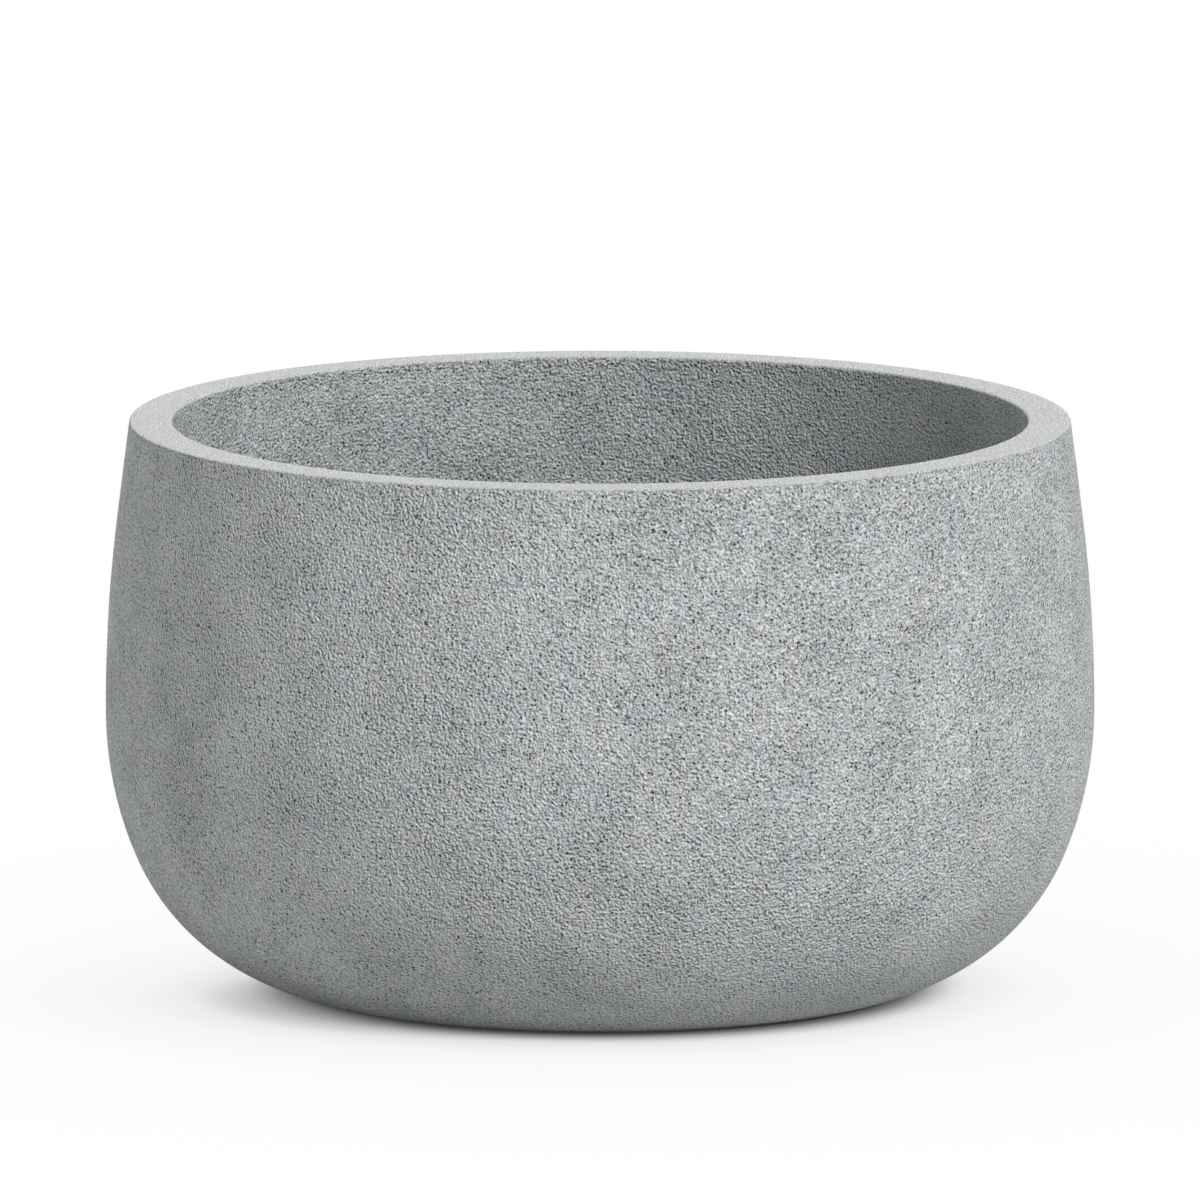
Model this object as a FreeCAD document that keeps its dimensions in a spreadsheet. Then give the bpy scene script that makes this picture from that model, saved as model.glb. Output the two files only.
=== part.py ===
import FreeCAD, Part
import enum
import math
import os

import Sketcher

# A round double-skinned fibreglass planter: two moulded skins with a foam core between them,
# closed by a flat rim, with a plugged drain and four low feet. Millimetres and degrees,
# +Z up, origin on the floor at the centre of the base.

SIZES = {
    # form of the outside
    "belly_diameter": 600,
    "overall_height": 350,
    "belly_height": 173,
    "belly_radius": 226,
    "belly_turn": 22.5,
    "rim_inset": 15,
    "neck_length": 57,
    # rim
    "rim_width": 26,
    "rim_thickness": 8,
    "rim_edge_radius": 1.5,
    "tongue_depth": 16,
    # skins and the space between them
    "outer_wall": 5,
    "liner_wall": 4,
    "liner_bulge": 10,
    "base_depth": 32,
    "bond_gap": 0.3,
    "moulding_radius": 3,
    # feet
    "foot_count": 4,
    "foot_start": 45,
    "foot_diameter": 40,
    "foot_inset": 34,
    "foot_lift": 2,
    "foot_recess": 2,
    "foot_chamfer": 0.8,
    "foot_clearance": 0.3,
    # drain
    "bore_diameter": 24,
    "outlet_step": 1,
    "outlet_depth": 7,
    "sleeve_wall": 2,
    "sleeve_overhang": 2,
    "sleeve_clearance": 0.3,
    "flange_width": 13,
    "flange_thickness": 3,
    "gasket_thickness": 1.5,
    "sump_margin": 15,
    "nut_sides": 6,
    "nut_wall": 7,
    "nut_thickness": 8,
    "nut_clearance": 0.1,
    "floor_clearance": 4,
    # plug
    "plug_flange_width": 8,
    "plug_flange_thickness": 4,
    "plug_depth": 16,
    "plug_clearance": 0.9,
    "rib_clearance": 0.3,
    "rib_height": 3,
    "plug_neck_diameter": 10,
    "plug_neck_height": 6,
    "knob_diameter": 18,
    "knob_height": 8,
    "knob_chamfer": 2,
    "drain_edge_radius": 0.8,
}

# Two lengths closer than this are the same.
SAME = 1e-6

# Angles of a sketch, in degrees: once round, and straight down.
FULL_TURN = 360
DOWN = -90

# Sizes that follow from those above, worked out in the sheet.
WORKED = {
    "belly_half": "=belly_diameter / 2",
    "rim_radius": "=belly_half - rim_inset",
    "mouth_radius": "=rim_radius - rim_width",
    "wall_depth": "=rim_inset + rim_width - liner_bulge",
    "neck_rise": "=overall_height - belly_height",
    "neck_angle": "=2 * atan(rim_inset / (neck_length + neck_rise))",
    "neck_radius": "=(neck_rise - neck_length * cos(neck_angle)) / sin(neck_angle)",
    "throat_angle": "=2 * atan(liner_bulge / (neck_length + neck_rise))",
    "throat_radius": "=(neck_rise - neck_length * cos(throat_angle)) / sin(throat_angle)",
    "flank_drop": "=belly_radius * sin(belly_turn)",
    "corner_radius": "=(belly_height - foot_lift - flank_drop) / (1 - sin(belly_turn))",
    "flank_run": "=belly_radius * (1 - cos(belly_turn))",
    "base_radius": "=belly_half - flank_run - corner_radius * cos(belly_turn)",
    "shell_top": "=overall_height - rim_thickness",
    "tongue_end": "=shell_top - tongue_depth",
    "rim_foot_radius": "=rim_radius + rim_thickness * tan(neck_angle)",
    "mouth_foot_radius": "=mouth_radius + rim_thickness * tan(throat_angle)",
    "tongue_out_top": "=rim_foot_radius - outer_wall / cos(neck_angle) - bond_gap",
    "tongue_out_end": "=tongue_out_top + tongue_depth * tan(neck_angle)",
    "tongue_in_top": "=mouth_foot_radius + liner_wall / cos(throat_angle) + bond_gap",
    "tongue_in_end": "=tongue_in_top + tongue_depth * tan(throat_angle)",
    "foot_circle": "=base_radius - foot_inset",
    "floor_level": "=foot_lift + base_depth",
    "sleeve_end": "=foot_lift + floor_clearance",
    "nut_level": "=sleeve_end + sleeve_overhang",
    "recess_level": "=nut_level + nut_thickness",
    "seat_level": "=recess_level + outer_wall + bond_gap + liner_wall",
    "flange_level": "=seat_level + gasket_thickness",
    "lip_level": "=flange_level + flange_thickness",
    "bore_radius": "=bore_diameter / 2",
    "outlet_radius": "=bore_radius + outlet_step",
    "sleeve_radius": "=outlet_radius + sleeve_wall",
    "hole_radius": "=sleeve_radius + sleeve_clearance",
    "flange_radius": "=sleeve_radius + flange_width",
    "sump_radius": "=flange_radius + sump_margin",
    "recess_radius": "=sump_radius + liner_wall - outer_wall",
    "nut_corner": "=(sleeve_radius + nut_wall) / cos(180 / nut_sides)",
    "plug_end": "=lip_level - plug_depth",
    "plug_top": "=lip_level + plug_flange_thickness",
    "knob_level": "=plug_top + plug_neck_height",
    "knob_top": "=knob_level + knob_height",
}

doc = FreeCAD.newDocument("planter")
sheet = doc.addObject("Spreadsheet::Sheet", "Sheet")
for row, (alias, content) in enumerate({**SIZES, **WORKED}.items(), start=1):
    sheet.set(f"A{row}", alias)
    sheet.set(f"B{row}", str(content))
    sheet.setAlias(f"B{row}", alias)
doc.recompute()


class Size:
    """A sheet value, or a sum of them, with its number and the expression that gives it."""

    def __init__(self, number, text):
        self.number = number
        self.text = text

    def __add__(self, other):
        return Size(self.number + other.number, f"{self.text} + {other.text}")

    def __sub__(self, other):
        return Size(self.number - other.number, f"{self.text} - ({other.text})")

    def half(self):
        return Size(self.number / 2, f"({self.text}) / 2")


def size(alias):
    """The sheet's value of that name."""
    content = getattr(sheet, alias)
    return Size(float(getattr(content, "Value", content)), f"Sheet.{alias}")


# Nothing added to a size, and the level of the floor.
ZERO = Size(0, "0")

# The points of a sketch's edge, as the sketcher numbers them.
Spot = enum.IntEnum("Spot", "START END CENTRE")


class Datum(enum.IntEnum):
    """A sketch's own axes, as the sketcher numbers them."""

    LEVEL = -1
    UPRIGHT = -2


class Outline:
    """A closed sketch on one of a body's origin planes, with every size bound to the sheet."""

    def __init__(self, body, name, plane="XZ_Plane"):
        self.sketch = body.newObject("Sketcher::SketchObject", name)
        support = [f for f in body.Origin.OriginFeatures if f.Role == plane][0]
        self.sketch.AttachmentSupport = [(support, "")]
        self.sketch.MapMode = "FlatFace"

    def line(self, start, end):
        """A straight edge between two points, each given as numbers."""
        ends = (FreeCAD.Vector(*start, 0), FreeCAD.Vector(*end, 0))
        return self.sketch.addGeometry(Part.LineSegment(*ends), False)

    def arc(self, centre, radius, first, last):
        """A round edge that runs anticlockwise between two angles in degrees."""
        circle = Part.Circle(FreeCAD.Vector(*centre, 0), FreeCAD.Vector(0, 0, 1), radius)
        span = Part.ArcOfCircle(circle, math.radians(first), math.radians(last))
        return self.sketch.addGeometry(span, False)

    def circle(self, across, along, radius):
        """A round hole or boss whose centre and radius are sizes."""
        centre = FreeCAD.Vector(across.number, along.number, 0)
        edge = Part.Circle(centre, FreeCAD.Vector(0, 0, 1), radius.number)
        ring = self.sketch.addGeometry(edge, False)
        self.place((ring, Spot.CENTRE), across, along)
        self.bind("Radius", (ring,), radius)

    def relate(self, kind, *where):
        """A relation without a size, such as Tangent or Coincident."""
        self.sketch.addConstraint(Sketcher.Constraint(kind, *where))

    def bind(self, kind, where, value):
        """A relation whose size comes from the sheet."""
        number = math.radians(value.number) if kind == "Angle" else value.number
        index = self.sketch.addConstraint(Sketcher.Constraint(kind, *where, number))
        name = f"{kind}{index}"
        self.sketch.renameConstraint(index, name)
        self.sketch.setExpression(f"Constraints.{name}", value.text)

    def place(self, point, across=None, along=None):
        """Sets a point's distances from the origin, leaving out those that aren't given."""
        if across is not None:
            self.bind("DistanceX", (Datum.LEVEL, Spot.START, *point), across)
        if along is not None:
            self.bind("DistanceY", (Datum.LEVEL, Spot.START, *point), along)

    def chain(self, points):
        """Straight edges through points of (radius, level); a radius of None is on the axis."""
        spots = [(r.number if r else 0, z.number) for r, z in points]
        edges = [self.line(a, b) for a, b in zip(spots, spots[1:])]
        for before, after in zip(edges, edges[1:]):
            self.relate("Coincident", before, Spot.END, after, Spot.START)
        ends = [(edge, Spot.START) for edge in edges] + [(edges[-1], Spot.END)]
        return edges, ends

    def fix(self, ends, points):
        """Binds each end of a chain to its radius and level."""
        for end, (radius, level) in zip(ends, points):
            self.place(end, radius, level)
            if radius is None:
                self.relate("PointOnObject", *end, Datum.UPRIGHT)

    def polygon(self, points):
        """A closed shape of straight edges through points of (radius, level)."""
        edges, ends = self.chain(points + points[:1])
        self.relate("Coincident", edges[-1], Spot.END, edges[0], Spot.START)
        self.fix(ends[:-1], points)

    def meridian(self, belly, upper, angle, flank, floor, top, end):
        """One face of a skin: a straight neck, two flank arcs, a corner arc and a flat.

        The face is upright at the belly's height. It leans inwards above, along an arc and
        then a straight neck up to the level top. Below, the flank turns by the belly's turn,
        and the corner arc carries on to the flat, which runs in to the radius end.
        Returns the two free ends, at the top and on the flat.
        """
        height, turn = size("belly_height"), size("belly_turn")
        lean, dip = math.radians(angle.number), math.radians(turn.number)
        hub = belly.number - upper.number
        neck = (hub + upper.number * math.cos(lean), height.number + upper.number * math.sin(lean))
        tip = (neck[0] - (top.number - neck[1]) * math.tan(lean), top.number)
        drop = flank.number * math.sin(dip)
        corner = (height.number - floor.number - drop) / (1 - math.sin(dip))
        elbow = belly.number - flank.number + (flank.number - corner) * math.cos(dip)

        straight = self.line(tip, neck)
        above = self.arc((hub, height.number), upper.number, 0, angle.number)
        side = (belly.number - flank.number, height.number)
        below = self.arc(side, flank.number, -turn.number, 0)
        turned = self.arc((elbow, floor.number + corner), corner, DOWN, -turn.number)
        flat = self.line((elbow, floor.number), (end.number, floor.number))

        self.relate("Tangent", straight, Spot.END, above, Spot.END)
        self.relate("Tangent", above, Spot.START, below, Spot.END)
        self.relate("Tangent", below, Spot.START, turned, Spot.END)
        self.relate("Tangent", turned, Spot.START, flat, Spot.START)
        self.relate("Horizontal", above, Spot.CENTRE, above, Spot.START)
        self.relate("Horizontal", flat)
        self.place((above, Spot.START), belly, height)
        self.bind("Radius", (above,), upper)
        self.bind("Angle", (above,), angle)
        self.bind("Radius", (below,), flank)
        self.bind("Angle", (below,), turn)
        self.place((straight, Spot.START), along=top)
        self.place((flat, Spot.END), end, floor)
        return (straight, Spot.START), (flat, Spot.END)

    def close(self, first, second):
        """A straight edge that joins two free ends."""
        spots = [self.sketch.getPoint(*end) for end in (first, second)]
        edge = self.line(*[(spot.x, spot.y) for spot in spots])
        self.relate("Coincident", edge, Spot.START, *first)
        self.relate("Coincident", edge, Spot.END, *second)

    def bridge(self, first, points, second):
        """Straight edges from one free end through points of (radius, level) to another."""
        spots = [self.sketch.getPoint(*end) for end in (first, second)]
        ends = [(Size(spot.x, ""), Size(spot.y, "")) for spot in spots]
        edges, joints = self.chain([ends[0], *points, ends[1]])
        self.relate("Coincident", *joints[0], *first)
        self.relate("Coincident", *joints[-1], *second)
        self.fix(joints[1:-1], points)


def new_body(label):
    """An empty body with the label that names its file."""
    body = doc.addObject("PartDesign::Body", label)
    body.Label = label
    return body


def spin(body, outline):
    """Turns an outline a full turn about the upright axis."""
    turned = body.newObject("PartDesign::Revolution", f"{body.Name}_turned")
    turned.Profile = outline.sketch
    turned.ReferenceAxis = (outline.sketch, ["V_Axis"])
    turned.Angle = FULL_TURN
    doc.recompute()
    return turned


def ring_names(shape, rings):
    """The names of a turned shape's edges that run round the axis at (radius, level)."""
    names = []
    for index, edge in enumerate(shape.Edges, start=1):
        if not isinstance(edge.Curve, Part.Circle):
            continue
        spot = (edge.Curve.Radius, edge.Curve.Center.z)
        if any(math.dist(spot, (r.number, z.number)) < SAME for r, z in rings):
            names.append(f"Edge{index}")
    return names


def soften(body, base, rings, radius):
    """Rounds the edges that run round the axis at (radius, level)."""
    rounding = body.newObject("PartDesign::Fillet", f"{base.Name}_softened")
    rounding.Base = (base, ring_names(base.Shape, rings))
    rounding.setExpression("Radius", radius.text)
    body.Tip = rounding
    doc.recompute()
    return rounding


def outer_face(outline, depth, top, end):
    """The outside's form, set in by a depth from the outer face."""
    return outline.meridian(
        belly=size("belly_half") - depth,
        upper=size("neck_radius") - depth,
        angle=size("neck_angle"),
        flank=size("belly_radius") - depth,
        floor=size("foot_lift") + depth,
        top=top,
        end=end,
    )


def inner_face(outline, depth, top, end):
    """The inside's form, set out by a depth from the inner face."""
    return outline.meridian(
        belly=size("belly_half") - size("wall_depth") + depth,
        upper=size("throat_radius") + depth,
        angle=size("throat_angle"),
        flank=size("belly_radius") - size("wall_depth") + depth,
        floor=size("floor_level") - depth,
        top=top,
        end=end,
    )


def make_outer_shell():
    """The outer skin, with a recess under the drain and shallow seats for the feet."""
    body = new_body("outer_shell")
    wall = size("outer_wall")
    recess, raised = size("recess_radius"), size("recess_level")
    outline = Outline(body, "outer_shell_section")
    top_out, flat_out = outer_face(outline, ZERO, size("shell_top"), recess)
    top_in, flat_in = outer_face(outline, wall, size("shell_top"), recess + wall)
    outline.close(top_in, top_out)
    hole = size("hole_radius")
    rise = [(recess, raised), (hole, raised), (hole, raised + wall), (recess + wall, raised + wall)]
    outline.bridge(flat_out, rise, flat_in)
    turned = spin(body, outline)
    corners = [(recess, size("foot_lift")), (recess, raised)]
    skin = soften(body, turned, corners, size("moulding_radius"))

    seat = Outline(body, "foot_seat_circle", "XY_Plane")
    angle = math.radians(size("foot_start").number)
    reach = size("foot_circle")
    across = Size(reach.number * math.cos(angle), f"{reach.text} * cos(Sheet.foot_start)")
    along = Size(reach.number * math.sin(angle), f"{reach.text} * sin(Sheet.foot_start)")
    seat.circle(across, along, size("foot_diameter").half() + size("foot_clearance"))
    pocket = body.newObject("PartDesign::Pocket", "foot_seat")
    pocket.Profile = seat.sketch
    pocket.Reversed = True
    pocket.setExpression("Length", "Sheet.foot_lift + Sheet.foot_recess")
    doc.recompute()
    seats = body.newObject("PartDesign::PolarPattern", "foot_seats")
    seats.Originals = [pocket]
    seats.Axis = (seat.sketch, ["N_Axis"])
    seats.Angle = FULL_TURN
    seats.setExpression("Occurrences", "Sheet.foot_count")
    body.Tip = seats
    doc.recompute()
    if not seats.Shape.Volume < pocket.Shape.Volume < skin.Shape.Volume:
        raise RuntimeError("the seats of the feet cut nothing out of the outer skin")
    return body


def make_liner_shell():
    """The inner skin, with a sump that takes the drain's flange."""
    body = new_body("liner_shell")
    wall = size("liner_wall")
    sump, seat = size("sump_radius"), size("seat_level")
    outline = Outline(body, "liner_shell_section")
    top_in, flat_in = inner_face(outline, ZERO, size("shell_top"), sump)
    top_out, flat_out = inner_face(outline, wall, size("shell_top"), sump + wall)
    outline.close(top_in, top_out)
    hole = size("hole_radius")
    fall = [(sump, seat), (hole, seat), (hole, seat - wall), (sump + wall, seat - wall)]
    outline.bridge(flat_in, fall, flat_out)
    turned = spin(body, outline)
    soften(body, turned, [(sump, size("floor_level")), (sump, seat)], size("moulding_radius"))
    return body


def make_foam_core():
    """The foam that fills the space between the skins, a bond line away from both."""
    body = new_body("foam_core")
    gap = size("bond_gap")
    top = size("tongue_end") - gap
    hole = size("recess_radius") + size("outer_wall") + gap
    outline = Outline(body, "foam_core_section")
    top_out, flat_out = outer_face(outline, size("outer_wall") + gap, top, hole)
    top_in, flat_in = inner_face(outline, size("liner_wall") + gap, top, hole)
    outline.close(top_out, top_in)
    outline.close(flat_out, flat_in)
    spin(body, outline)
    return body


def make_rim_ring():
    """The flat rim that caps both skins, with a tongue bonded between them."""
    body = new_body("rim_ring")
    top, under, end = size("overall_height"), size("shell_top"), size("tongue_end")
    outline = Outline(body, "rim_ring_section")
    outline.polygon(
        [
            (size("rim_radius"), top),
            (size("rim_foot_radius"), under),
            (size("tongue_out_top"), under),
            (size("tongue_out_end"), end),
            (size("tongue_in_end"), end),
            (size("tongue_in_top"), under),
            (size("mouth_foot_radius"), under),
            (size("mouth_radius"), top),
        ]
    )
    turned = spin(body, outline)
    crest = [(size("rim_radius"), top), (size("mouth_radius"), top)]
    soften(body, turned, crest, size("rim_edge_radius"))
    return body


def make_foot_pad(index):
    """One low rubber foot, set into its seat under the base."""
    body = new_body(f"foot_pad_{index + 1}")
    radius, bevel = size("foot_diameter").half(), size("foot_chamfer")
    outline = Outline(body, f"{body.Name}_section")
    outline.polygon(
        [
            (None, ZERO),
            (radius - bevel, ZERO),
            (radius, bevel),
            (radius, size("foot_lift") + size("foot_recess")),
            (None, size("foot_lift") + size("foot_recess")),
        ]
    )
    spin(body, outline)
    angle = f"Sheet.foot_start + {index} * {FULL_TURN} / Sheet.foot_count"
    body.setExpression("Placement.Base.x", f"Sheet.foot_circle * cos({angle})")
    body.setExpression("Placement.Base.y", f"Sheet.foot_circle * sin({angle})")
    doc.recompute()
    return body


def make_drain_sleeve():
    """The flanged drain tube, with a wider outlet at its lower end."""
    body = new_body("drain_sleeve")
    bore, outlet, tube = size("bore_radius"), size("outlet_radius"), size("sleeve_radius")
    end, flange, lip = size("sleeve_end"), size("flange_level"), size("lip_level")
    shoulder = end + size("outlet_depth")
    outline = Outline(body, "drain_sleeve_section")
    outline.polygon(
        [
            (bore, lip),
            (bore, shoulder),
            (outlet, shoulder),
            (outlet, end),
            (tube, end),
            (tube, flange),
            (size("flange_radius"), flange),
            (size("flange_radius"), lip),
        ]
    )
    turned = spin(body, outline)
    mouths = [(size("flange_radius"), lip), (bore, lip), (outlet, end)]
    soften(body, turned, mouths, size("drain_edge_radius"))
    return body


def make_drain_gasket():
    """The flat seal between the drain's flange and the sump."""
    body = new_body("drain_gasket")
    outline = Outline(body, "drain_gasket_section")
    inner, outer = size("hole_radius"), size("flange_radius")
    low, high = size("seat_level"), size("flange_level")
    outline.polygon([(inner, low), (outer, low), (outer, high), (inner, high)])
    spin(body, outline)
    return body


def make_drain_nut():
    """The hexagonal nut that clamps the drain from below."""
    block = doc.addObject("Part::Prism", "drain_nut_block")
    block.setExpression("Polygon", "Sheet.nut_sides")
    block.setExpression("Circumradius", "Sheet.nut_corner")
    block.setExpression("Height", "Sheet.nut_thickness")
    block.setExpression("Placement.Base.z", "Sheet.nut_level")
    bore = doc.addObject("Part::Cylinder", "drain_nut_bore")
    bore.setExpression("Radius", "Sheet.sleeve_radius + Sheet.nut_clearance")
    bore.setExpression("Height", "Sheet.nut_thickness")
    bore.setExpression("Placement.Base.z", "Sheet.nut_level")
    nut = doc.addObject("Part::Cut", "drain_nut")
    nut.Label = "drain_nut"
    nut.Base = block
    nut.Tool = bore
    doc.recompute()
    return nut


def make_drain_plug():
    """The rubber plug: a ribbed shank, a flange that seats on the drain, and a knob to pull."""
    body = new_body("drain_plug")
    shank = size("bore_radius") - size("plug_clearance")
    rib = size("bore_radius") - size("rib_clearance")
    flange = size("bore_radius") + size("plug_flange_width")
    neck, knob = size("plug_neck_diameter").half(), size("knob_diameter").half()
    end, lip, top = size("plug_end"), size("lip_level"), size("plug_top")
    ridge, bevel = size("rib_height"), size("knob_chamfer")
    low, high = size("knob_level"), size("knob_top")
    outline = Outline(body, "drain_plug_section")
    outline.polygon(
        [
            (None, end),
            (shank, end),
            (shank, end + ridge),
            (rib, end + ridge + ridge),
            (shank, end + ridge + ridge),
            (shank, end + ridge + ridge + ridge),
            (rib, end + ridge + ridge + ridge + ridge),
            (shank, end + ridge + ridge + ridge + ridge),
            (shank, lip),
            (flange, lip),
            (flange, top),
            (neck, top),
            (neck, low),
            (knob, low),
            (knob, high - bevel),
            (knob - bevel, high),
            (None, high),
        ]
    )
    turned = spin(body, outline)
    touched = [(shank, end), (flange, top), (knob, low), (knob, high - bevel), (knob - bevel, high)]
    soften(body, turned, touched, size("drain_edge_radius"))
    return body


pieces = [
    make_outer_shell(),
    make_liner_shell(),
    make_foam_core(),
    make_rim_ring(),
    make_drain_sleeve(),
    make_drain_gasket(),
    make_drain_nut(),
    make_drain_plug(),
    *[make_foot_pad(index) for index in range(SIZES["foot_count"])],
]

doc.recompute()
for thing in doc.Objects:
    if "Invalid" in thing.State or "Error" in thing.State:
        raise RuntimeError(f"{thing.Label} failed: {thing.State}")
for piece in pieces:
    if piece.Shape.isNull() or not piece.Shape.isValid():
        raise RuntimeError(f"{piece.Label} has no valid shape")

os.makedirs("parts", exist_ok=True)
for piece in pieces:
    piece.Shape.exportStep(f"parts/{piece.Label}.step")
    print(f"{piece.Label}: {piece.Shape.Volume / 1000:.1f} cm3")
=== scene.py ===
"""Looks of a round fibreglass planter: two grained skins, a flat rim, a plugged drain and feet.

Lengths of the pieces are in millimetres, as a maker would give them, and every finished mesh is in
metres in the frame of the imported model: +Z up, origin on the floor at the centre of the base.
"""

from __future__ import annotations

import logging
import math
from dataclasses import dataclass, field, replace
from enum import Enum
from typing import Any, Callable, Optional, Union

import bmesh
import bpy
from mathutils import Matrix, Vector, noise


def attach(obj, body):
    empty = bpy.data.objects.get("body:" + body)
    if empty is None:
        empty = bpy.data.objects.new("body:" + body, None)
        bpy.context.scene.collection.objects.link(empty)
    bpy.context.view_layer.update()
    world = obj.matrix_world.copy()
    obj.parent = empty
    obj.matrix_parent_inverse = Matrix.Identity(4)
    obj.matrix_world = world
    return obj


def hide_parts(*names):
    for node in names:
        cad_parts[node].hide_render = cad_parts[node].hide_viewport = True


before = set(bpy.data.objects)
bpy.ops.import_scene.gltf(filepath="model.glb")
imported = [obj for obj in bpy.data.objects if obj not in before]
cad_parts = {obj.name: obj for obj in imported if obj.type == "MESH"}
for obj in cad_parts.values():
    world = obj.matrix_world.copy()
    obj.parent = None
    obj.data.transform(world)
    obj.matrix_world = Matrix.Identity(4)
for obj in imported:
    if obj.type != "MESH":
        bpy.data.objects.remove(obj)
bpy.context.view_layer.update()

LOG = logging.getLogger("planter")
MM = 0.001
BAKE_MAP = "OFBake"
BAKE_MARGIN = 0.004
UPRIGHT = (0.0, 0.0, 1.0)
ACROSS = (0.0, 1.0, 0.0)
SHARP_ANGLE = math.radians(32)
MERGE_DISTANCE = 1e-6
QUARTER = 90.0
EDGE_STEPS = 4

Colour = tuple[float, float, float]
Triple = tuple[float, float, float]
Spot = tuple[float, float]
Span = tuple[float, float]
Shaping = Callable[[bmesh.types.BMesh], Any]


class Body(Enum):
    """The bodies that move apart."""

    PLANTER = "planter"
    PLUG = "plug"


class Look(Enum):
    """The finishes, by name."""

    OUTSIDE = "outside_fibreglass"
    INSIDE = "inside_fibreglass"
    RIM = "rim_fibreglass"
    FOAM = "rigid_foam"
    PLASTIC = "drain_plastic"
    RUBBER = "soft_rubber"

    @property
    def slot(self) -> str:
        """The record's material slot."""
        return "grained_fibreglass" if self in (Look.OUTSIDE, Look.INSIDE) else self.value


class Hidden(Enum):
    """How much of the bake a run of a section gets, against one that shows."""

    NO = 1.0
    YES = 0.03


class Wire:
    """An output of a node, with arithmetic that adds Math nodes."""

    def __init__(self, graph: Graph, socket: bpy.types.NodeSocket) -> None:
        """Holds a socket of a graph."""
        self.graph = graph
        self.socket = socket

    def beside(self, name: str) -> Wire:
        """Another output of the same node."""
        return Wire(self.graph, self.socket.node.outputs[name])

    def swing(self) -> Wire:
        """A noise of 0 to 1, taken about its middle."""
        return self - 0.5

    def around(self, depth: float) -> Wire:
        """A level around 1 that follows a noise of 0 to 1."""
        return 1 + depth * self.swing()

    def maths(self, operation: str, first: Operand, second: Operand) -> Wire:
        """The value of one Math node with these operands."""
        return self.graph.add("ShaderNodeMath", {"operation": operation}, {0: first, 1: second})

    def __add__(self, other: Operand) -> Wire:
        """This value plus another."""
        return self.maths("ADD", self, other)

    def __radd__(self, other: Operand) -> Wire:
        """A number plus this value."""
        return self.maths("ADD", other, self)

    def __sub__(self, other: Operand) -> Wire:
        """This value less another."""
        return self.maths("SUBTRACT", self, other)

    def __rsub__(self, other: Operand) -> Wire:
        """A number less this value."""
        return self.maths("SUBTRACT", other, self)

    def __mul__(self, other: Operand) -> Wire:
        """This value times another."""
        return self.maths("MULTIPLY", self, other)

    def __rmul__(self, other: Operand) -> Wire:
        """A number times this value."""
        return self.maths("MULTIPLY", other, self)


Operand = Union[Wire, float]


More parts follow.
